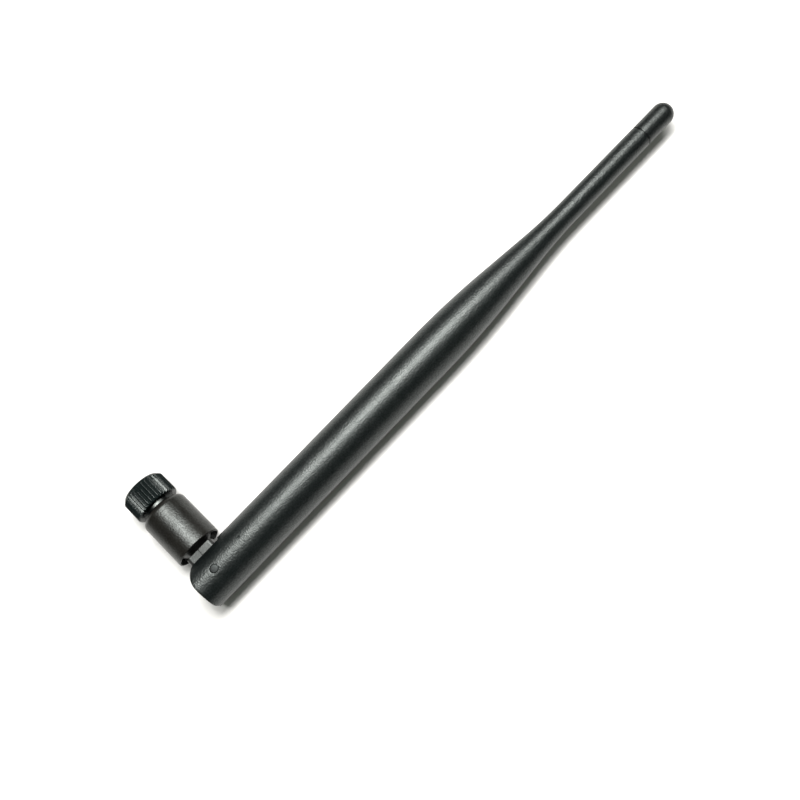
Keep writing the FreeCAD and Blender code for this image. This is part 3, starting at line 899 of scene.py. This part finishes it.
def make_grip():
    """Ribbed grip: a smooth chamfered band in front, then the ridges and a small rear chamfer."""
    columns = KNURL_RIDGES * COLUMNS_PER_RIDGE
    front = GRIP_LOW.x
    back = GRIP_HIGH.x
    ridge_start = front + GRIP_BAND
    ridge_full = ridge_start + KNURL_RISE
    stations = [front, front + GRIP_LIP / 2] + spread(front + GRIP_LIP, ridge_start, 8)
    stations += spread(ridge_start, ridge_full, 4)[1:]
    stations += spread(ridge_full, back - GRIP_CHAMFER, 4)[1:]
    stations += spread(back - GRIP_CHAMFER, back, 6)[1:]
    vertices = ring_about_x(front, lambda turn: NECK_R, columns)
    for x in stations:
        limit = grip_envelope(x)
        vertices += ring_about_x(x, lambda turn, limit=limit: min(ridge_radius(turn), limit), columns)
    vertices += ring_about_x(back, lambda turn: NECK_R, columns)
    faces = tube_faces(len(stations) + 2, columns)
    piece = new_piece("grip", vertices, faces, "grip_plastic", "nut_grip", 55)
    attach(piece, "nut")


def insert_profile():
    """Profile of the metal nut: (station, radius, 1 where the thread is cut or else 0)."""
    mouth = INSERT_LOW.x
    back = INSERT_HIGH.x
    rim = (back - INSERT_RIM, NECK_R - INSERT_RIM)
    outside = line((mouth, NECK_R), (rim[0], NECK_R), 6)
    outside += arc(rim, INSERT_RIM, 90, 0, 5)[1:]
    outside += [(back, INSERT_BORE_R), (RELIEF_END_X, INSERT_BORE_R)]
    outside += [(RELIEF_END_X, RELIEF_R), (0.0, RELIEF_R)]
    profile = [(x, radius, 0.0) for x, radius in outside]
    profile += [(x, THREAD_R, 1.0) for x in spread(0.0, mouth + MOUTH_CHAMFER, 64)]
    for share in (0.34, 0.67, 1.0):
        profile.append((mouth + MOUTH_CHAMFER * (1 - share), THREAD_R + MOUTH_CHAMFER * share, 0.0))
    return profile


def make_insert():
    """Metal nut: glossy neck outside, a real 36-per-inch thread inside."""
    columns = 96
    profile = insert_profile()
    vertices = []
    for x, radius, thread in profile:
        for column in range(columns):
            turn = 2 * math.pi * column / columns
            phase = (x / THREAD_PITCH + column / columns) % 1.0
            groove = max(0.0, 1 - abs(2 * phase - 1) * THREAD_FLANK)
            reach = radius + THREAD_DEPTH * groove * thread
            vertices.append((x, reach * math.cos(turn), reach * math.sin(turn)))
    faces = tube_faces(len(profile), columns)
    piece = new_piece("threaded_nut", vertices, faces, "nut_metal", "nut_insert", 38)
    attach(piece, "nut")


# ---- hinge pins and the cable between them ----


def pin_profile(inner):
    """Profile of a stub pin: (height, radius), from its inner end to its shallow crown."""
    rim = (RADOME_R - PIN_RIM, PIN_R - PIN_RIM)
    profile = [(inner, 0.0), (inner, PIN_R - PIN_FOOT), (inner + PIN_FOOT, PIN_R)]
    profile += [(rim[0], PIN_R)]
    profile += arc(rim, PIN_RIM, 90, 20, 6)[1:]
    edge = profile[-1]
    top = RADOME_R + PIN_CROWN
    for share in spread(0.0, 1.0, 5)[1:]:
        height = edge[0] + (top - edge[0]) * math.sin(share * math.pi / 2)
        profile.append((height, edge[1] * (1 - share)))
    return profile


def make_pin(side):
    """Stub pin on the side +1 or -1, with a rounded rim and an end slightly proud of the ear."""
    columns = 40
    node = "hinge_pin_upper" if side > 0 else "hinge_pin_lower"
    low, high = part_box(node)
    profile = pin_profile(low.z if side > 0 else -high.z)
    vertices = []
    for height, radius in profile:
        radius = max(radius, TINY)
        for column in range(columns):
            turn = 2 * math.pi * column / columns
            place = (HINGE.x + radius * math.cos(turn), radius * math.sin(turn), side * height)
            vertices.append(place)
    faces = capped_faces(len(profile), columns, flip=side < 0)
    piece = new_piece(node + "_end", vertices, faces, "pin_metal", node, 50)
    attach(piece, "radome")


def make_hinge_cable():
    """The cable's bend inside the hinge."""
    rings = 16
    columns = 20
    start = Vector((HINGE.x - CABLE_ARC_R, 0, 0))
    vertices = []
    for turn in spread(0.0, math.pi / 2, rings):
        centre = start + Vector((math.sin(turn), 1 - math.cos(turn), 0)) * CABLE_ARC_R
        inward = Vector((-math.sin(turn), math.cos(turn), 0))
        for column in range(columns):
            around = 2 * math.pi * column / columns
            offset = inward * math.cos(around) + Vector((0, 0, 1)) * math.sin(around)
            vertices.append(tuple(centre + offset * CABLE_R))
    faces = capped_faces(rings + 1, columns)
    piece = new_piece("hinge_cable", vertices, faces, "coax_jacket", "coax_hinge", 50)
    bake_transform(piece)


# ---- floor and light ----


def make_floor():
    """Plain pale floor, just under the lower pin's crown."""
    half = 3.0
    height = cad_low.z - PIN_CROWN
    mesh = bpy.data.meshes.new("floor")
    corners = [(-half, -half), (half, -half), (half, half), (-half, half)]
    mesh.from_pydata([(x, y, height) for x, y in corners], [], [(0, 1, 2, 3)])
    floor = bpy.data.objects.new("floor", mesh)
    bpy.context.scene.collection.objects.link(floor)
    material, tree, skin = shader("floor_paint")
    cloud = noise(tree, 400, 2.0)
    paint = two_colours(tree, cloud, (0.65, 0.65, 0.65), (0.67, 0.67, 0.67))
    tree.links.new(paint, skin.inputs["Base Color"])
    skin.inputs["Roughness"].default_value = 0.9
    skin.inputs["Specular IOR Level"].default_value = 0.1
    mesh.materials.append(material)


def area_light(name, from_hinge, size, power):
    """Soft rectangular light, its sides along X and Y, aimed down and a little to the radome's side."""
    data = bpy.data.lights.new(name, "AREA")
    data.shape = "RECTANGLE"
    data.size, data.size_y = size
    data.energy = power
    data.color = LIGHT_COLOUR
    light = bpy.data.objects.new(name, data)
    back = -LIGHT_AIM.normalized()
    across = Vector((0, 1, 0)).cross(back).normalized()
    along = back.cross(across)
    turn = Matrix((across, along, back)).transposed()
    light.matrix_world = Matrix.Translation(HINGE + Vector(from_hinge)) @ turn.to_4x4()
    bpy.context.scene.collection.objects.link(light)


def make_lights():
    """A long overhead soft box, a brighter part of it, and a strip at the hinge end."""
    area_light("soft_box", (-0.135, 0.365, 0.6), (0.25, 0.55), 4.35)
    area_light("soft_box_core", (-0.135, 0.17, 0.61), (0.25, 0.18), 3.25)
    area_light("end_strip", (-0.135, 0.0, 0.605), (0.08, 0.25), 2.95)


def background(tree, colour, strength):
    """Background shader of one colour."""
    node = tree.nodes.new("ShaderNodeBackground")
    node.inputs["Color"].default_value = (*colour, 1)
    node.inputs["Strength"].default_value = strength
    return node.outputs["Background"]


def either(tree, choice, otherwise, chosen):
    """Shader that is one of two, by the kind of ray."""
    node = tree.nodes.new("ShaderNodeMixShader")
    tree.links.new(choice, node.inputs["Fac"])
    tree.links.new(otherwise, node.inputs[1])
    tree.links.new(chosen, node.inputs[2])
    return node.outputs["Shader"]


def make_room():
    """Dim room that fills the shadows, darker in reflections and white behind the part."""
    world = bpy.data.worlds.new("room")
    world.use_nodes = True
    tree = world.node_tree
    tree.nodes.remove(tree.nodes["Background"])
    room = background(tree, (0.95, 1.0, 0.88), 0.2)
    dark_room = background(tree, (0.6, 1.0, 1.0), 0.03)
    seen = background(tree, (1, 1, 1), 1.0)
    rays = tree.nodes.new("ShaderNodeLightPath")
    lit = either(tree, rays.outputs["Is Glossy Ray"], room, dark_room)
    whole = either(tree, rays.outputs["Is Camera Ray"], lit, seen)
    tree.links.new(whole, tree.nodes["World Output"].inputs["Surface"])
    bpy.context.scene.world = world
    bpy.context.scene.view_settings.view_transform = "Standard"


make_camera()
paint_cad_nodes()
make_radome()
make_tip_cap()
make_sleeve()
make_grip()
make_insert()
make_pin(1)
make_pin(-1)
make_hinge_cable()
make_floor()
make_lights()
make_room()
